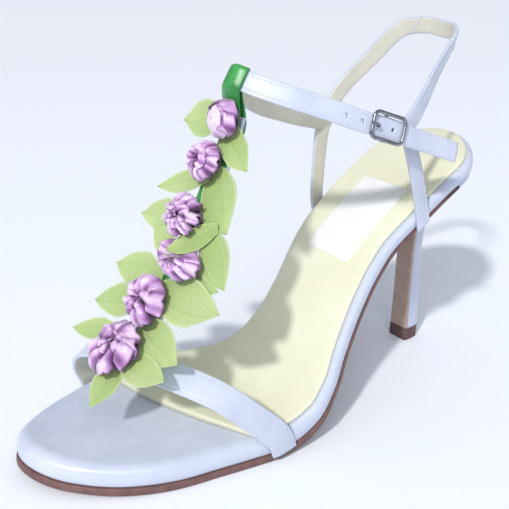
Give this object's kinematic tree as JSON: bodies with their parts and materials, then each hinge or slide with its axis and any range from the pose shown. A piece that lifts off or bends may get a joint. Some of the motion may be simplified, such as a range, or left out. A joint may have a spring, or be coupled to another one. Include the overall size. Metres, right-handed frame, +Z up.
{
  "type": "high-heeled sandal",
  "caption": "Left T-strap sandal in white satin with a slim high heel, buckled ankle strap, rear strap, and ribbon flowers and leaves along the front bar",
  "frame": {"origin": "on the floor, at the middle of the flat tread under the ball of the foot", "axes": "+Y from toe to heel, +X to the outer side of a left foot, +Z up"},
  "size_m": [0.0855, 0.2192, 0.1526],
  "materials": {
    "satin": "white satin",
    "sock": "smooth pale lining",
    "label": "plain white",
    "outsole": "brown leather",
    "top_lift": "dark brown",
    "green_ribbon": "satin ribbon",
    "buckle": "polished",
    "lilac_ribbon": "satin ribbon",
    "leaf_organza": "sheer organza"
  },
  "bodies": {
    "root": {"outsole": "outsole", "insole_board": "satin", "sock": "sock", "sock_label": "label", "heel": "satin", "top_lift": "top_lift", "vamp_strap": "satin", "collar_straps": "satin", "green_ribbon": "green_ribbon", "buckle_frame": "buckle", "buckle_prong": "buckle", "flower_1": "lilac_ribbon", "flower_2": "lilac_ribbon", "flower_3": "lilac_ribbon", "flower_4": "lilac_ribbon", "flower_5": "lilac_ribbon", "flower_6": "lilac_ribbon", "leaf_1": "leaf_organza", "leaf_2": "leaf_organza", "leaf_3": "leaf_organza", "leaf_4": "leaf_organza", "leaf_5": "leaf_organza", "leaf_6": "leaf_organza", "leaf_7": "leaf_organza", "leaf_8": "leaf_organza", "leaf_9": "leaf_organza", "leaf_10": "leaf_organza", "leaf_11": "leaf_organza", "leaf_12": "leaf_organza", "leaf_13": "leaf_organza", "leaf_14": "leaf_organza", "leaf_15": "leaf_organza", "leaf_16": "leaf_organza"}
  },
  "joints": []
}
